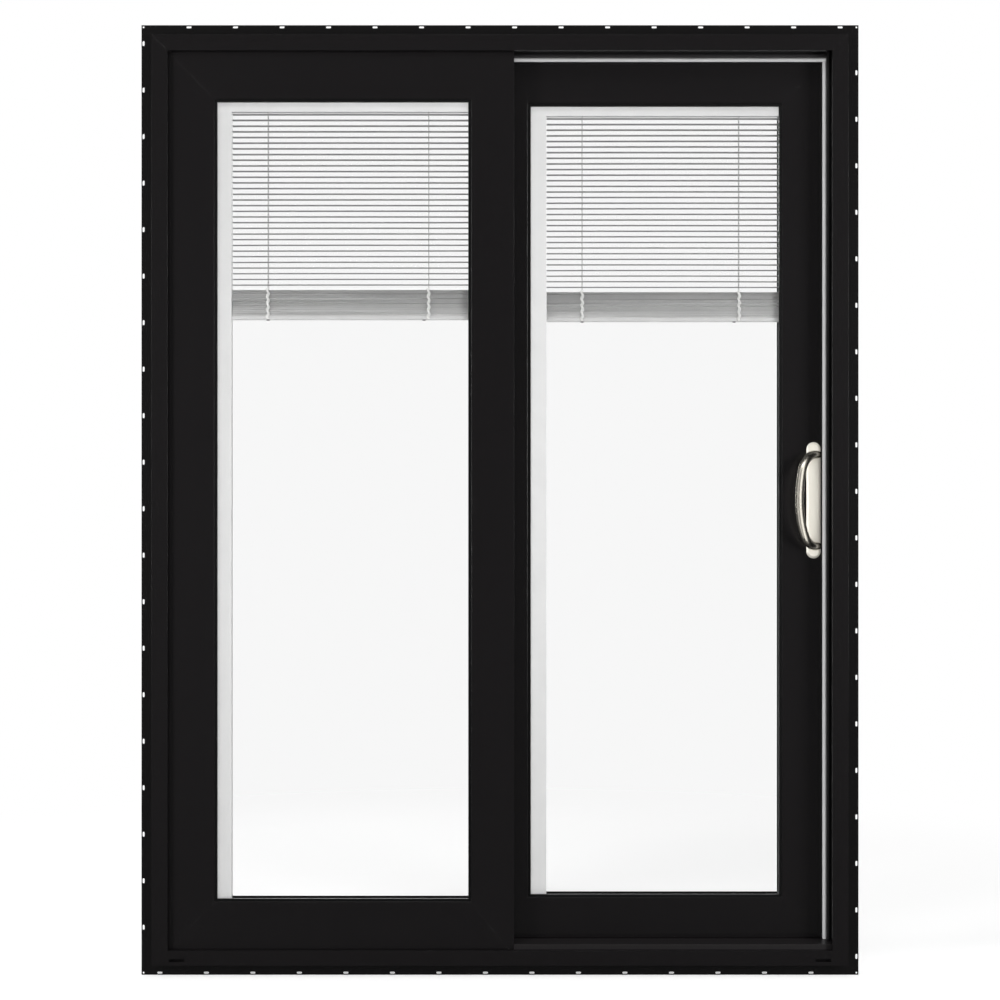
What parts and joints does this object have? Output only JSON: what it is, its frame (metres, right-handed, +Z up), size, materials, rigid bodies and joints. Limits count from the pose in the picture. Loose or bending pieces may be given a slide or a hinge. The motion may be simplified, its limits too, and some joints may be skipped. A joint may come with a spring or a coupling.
{
  "type": "glass sliding patio door",
  "caption": "Black vinyl sliding patio door with a nailing fin, a fixed and a sliding glazed panel, part-raised blinds between the panes and a bowed pull handle.",
  "frame": {"origin": "on the back face of the nailing fin, where it lies on the wall, in the middle of the door at the underside of the sill", "axes": "+X to the right seen from outside, +Y into the room, +Z up"},
  "size_m": [1.5662, 0.155, 2.0741],
  "materials": {
    "black_vinyl": "smooth black vinyl extrusion, satin",
    "fin_vinyl": "smooth black vinyl extrusion, satin",
    "window_glass": "clear float glass",
    "glazing_rubber": "matte black glazing rubber",
    "spacer_bar": "light grey spacer bar",
    "slat_white": "white baked enamel on thin aluminium",
    "blind_rail": "light grey-white enamel",
    "blind_cord": "white braided polyester",
    "blind_plastic": "black moulded plastic",
    "grey_weatherstrip": "light grey foam-filled bulb seal",
    "track_aluminium": "mill-finish extrusion",
    "lock_steel": "zinc-plated steel",
    "satin_nickel": "satin nickel plate on cast zinc"
  },
  "bodies": {
    "frame": {"fixed_blind_bottom_rail": "blind_rail", "fixed_blind_channel": "blind_rail", "fixed_blind_cords": "blind_cord", "fixed_blind_head": "blind_rail", "fixed_blind_slats": "slat_white", "fixed_blind_slider": "blind_plastic", "fixed_blind_stack": "slat_white", "fixed_bottom_rail": "black_vinyl", "fixed_glass_gasket": "glazing_rubber", "fixed_glass_spacer": "spacer_bar", "fixed_glazing_beads": "black_vinyl", "fixed_inside_glass": "window_glass", "fixed_meeting_stile": "black_vinyl", "fixed_outer_stile": "black_vinyl", "fixed_outside_glass": "window_glass", "fixed_top_rail": "black_vinyl", "frame_head": "black_vinyl", "frame_jamb_left": "black_vinyl", "frame_jamb_right": "black_vinyl", "frame_sill": "black_vinyl", "head_seal_carrier": "black_vinyl", "head_weatherstrip": "grey_weatherstrip", "jamb_seal_carrier": "black_vinyl", "jamb_weatherstrip": "grey_weatherstrip", "latch_keeper": "lock_steel", "nail_fin_bottom": "fin_vinyl", "nail_fin_left": "fin_vinyl", "nail_fin_right": "fin_vinyl", "nail_fin_top": "fin_vinyl", "sill_insert": "black_vinyl", "sill_track_rail": "track_aluminium"},
    "sliding_panel": {"inside_handle_plate": "satin_nickel", "inside_pull": "satin_nickel", "left_roller_unit": "lock_steel", "lock_faceplate": "lock_steel", "outside_handle_plate": "satin_nickel", "outside_pull": "satin_nickel", "right_roller_unit": "lock_steel", "sliding_blind_bottom_rail": "blind_rail", "sliding_blind_channel": "blind_rail", "sliding_blind_cords": "blind_cord", "sliding_blind_head": "blind_rail", "sliding_blind_slats": "slat_white", "sliding_blind_slider": "blind_plastic", "sliding_blind_stack": "slat_white", "sliding_bottom_rail": "black_vinyl", "sliding_glass_gasket": "glazing_rubber", "sliding_glass_spacer": "spacer_bar", "sliding_glazing_beads": "black_vinyl", "sliding_inside_glass": "window_glass", "sliding_lock_stile": "black_vinyl", "sliding_meeting_stile": "black_vinyl", "sliding_outside_glass": "window_glass", "sliding_top_rail": "black_vinyl", "thumb_latch": "satin_nickel"}
  },
  "joints": [
    {"name": "panel_slide", "type": "slide", "parent": "frame", "child": "sliding_panel", "axis": [-1, 0, 0], "range_m": [0, 0.6]}
  ]
}
